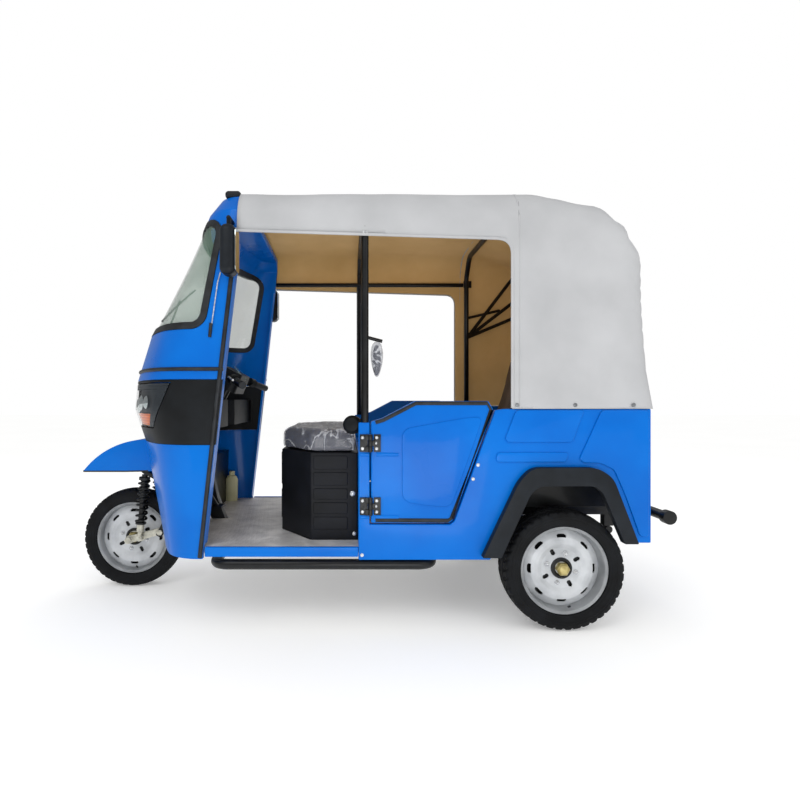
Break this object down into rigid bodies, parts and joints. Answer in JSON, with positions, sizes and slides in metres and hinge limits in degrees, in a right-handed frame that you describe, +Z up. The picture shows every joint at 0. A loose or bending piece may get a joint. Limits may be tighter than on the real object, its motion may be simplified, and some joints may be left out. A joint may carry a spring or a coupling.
{
  "type": "auto rickshaw",
  "caption": "Three-wheeled passenger rickshaw with an open blue cab, wrapped windscreen, low passenger doors, canvas hood on a tube frame and a steered front wheel.",
  "frame": {"origin": "on the ground, in the middle of the overall box", "axes": "+Z up, the front faces -X and the vehicle's left side faces -Y"},
  "size_m": [2.6999, 1.314, 1.834],
  "materials": {
    "tyre_rubber": "moulded tread",
    "silver_wheel": "silver paint",
    "black_steel": "gloss black paint",
    "cast_motor": "cast",
    "blue_paint": "gloss",
    "black_plastic": "grained",
    "lamp_lens": "clear over reflector",
    "seal_rubber": "extruded",
    "clear_glass": "clear",
    "floor_aluminium": "tread plate",
    "bright_steel": "zinc plated",
    "grip_rubber": "ribbed",
    "seat_vinyl": "vinyl",
    "flare_plastic": "satin",
    "red_lens": "ribbed lens",
    "canopy_canvas": "coated canvas"
  },
  "bodies": {
    "body": {"battery_pack": "black_plastic", "bench_backrest": "seat_vinyl", "bench_base": "black_steel", "bench_cushion": "seat_vinyl", "brake_pedal": "black_steel", "canopy": "canopy_canvas", "chassis_frame": "black_steel", "dashboard": "black_plastic", "door_sills": "blue_paint", "drive_motor": "cast_motor", "driver_cushion": "seat_vinyl", "floor_panel": "floor_aluminium", "footwell_bulkhead": "black_steel", "front_mudguard": "blue_paint", "header_bar": "flare_plastic", "headlamps": "lamp_lens", "hood_hoops": "black_steel", "lamp_panel": "black_plastic", "leaf_springs": "black_steel", "lower_cowl": "blue_paint", "mirrors": "flare_plastic", "partition": "blue_paint", "post_hinges": "black_steel", "rear_axle": "black_steel", "rear_bumper": "black_steel", "rear_panel": "blue_paint", "roof_frame": "black_steel", "seat_box": "black_plastic", "side_panels": "blue_paint", "step_bars": "black_steel", "tail_lamps": "red_lens", "upper_cowl": "blue_paint", "wheel_flares": "flare_plastic", "windscreen": "clear_glass", "windscreen_seal": "seal_rubber"},
    "steer": {"front_fork": "black_steel", "leading_links": "bright_steel", "front_shocks": "black_steel", "handlebar": "black_plastic", "grips": "grip_rubber"},
    "front_wheel": {"front_rim": "silver_wheel", "front_tyre": "tyre_rubber"},
    "rear_left_wheel": {"rear_left_rim": "silver_wheel", "rear_left_tyre": "tyre_rubber"},
    "rear_right_wheel": {"rear_right_rim": "silver_wheel", "rear_right_tyre": "tyre_rubber"},
    "left_door": {"door_left": "blue_paint", "door_hinges_left": "black_steel"},
    "right_door": {"door_right": "blue_paint", "door_hinges_right": "black_steel"}
  },
  "joints": [
    {"name": "steering", "type": "hinge", "parent": "body", "child": "steer", "pos_m": [-1.168, 0, 0], "axis": [0.4695, 0, 0.8829], "range_deg": [-38, 38]},
    {"name": "front_wheel_spin", "type": "hinge", "parent": "steer", "child": "front_wheel", "pos_m": [-1.108, 0, 0.242], "axis": [0, 1, 0], "continuous": true},
    {"name": "rear_left_wheel_spin", "type": "hinge", "parent": "body", "child": "rear_left_wheel", "pos_m": [0.837, -0.5, 0.242], "axis": [0, 1, 0], "continuous": true},
    {"name": "rear_right_wheel_spin", "type": "hinge", "parent": "body", "child": "rear_right_wheel", "pos_m": [0.837, 0.5, 0.242], "axis": [0, 1, 0], "continuous": true},
    {"name": "left_door_swing", "type": "hinge", "parent": "body", "child": "left_door", "pos_m": [0.055, -0.576, 0.63], "axis": [0, 0, -1], "range_deg": [0, 85]},
    {"name": "right_door_swing", "type": "hinge", "parent": "body", "child": "right_door", "pos_m": [0.055, 0.576, 0.63], "axis": [0, 0, 1], "range_deg": [0, 85]}
  ]
}
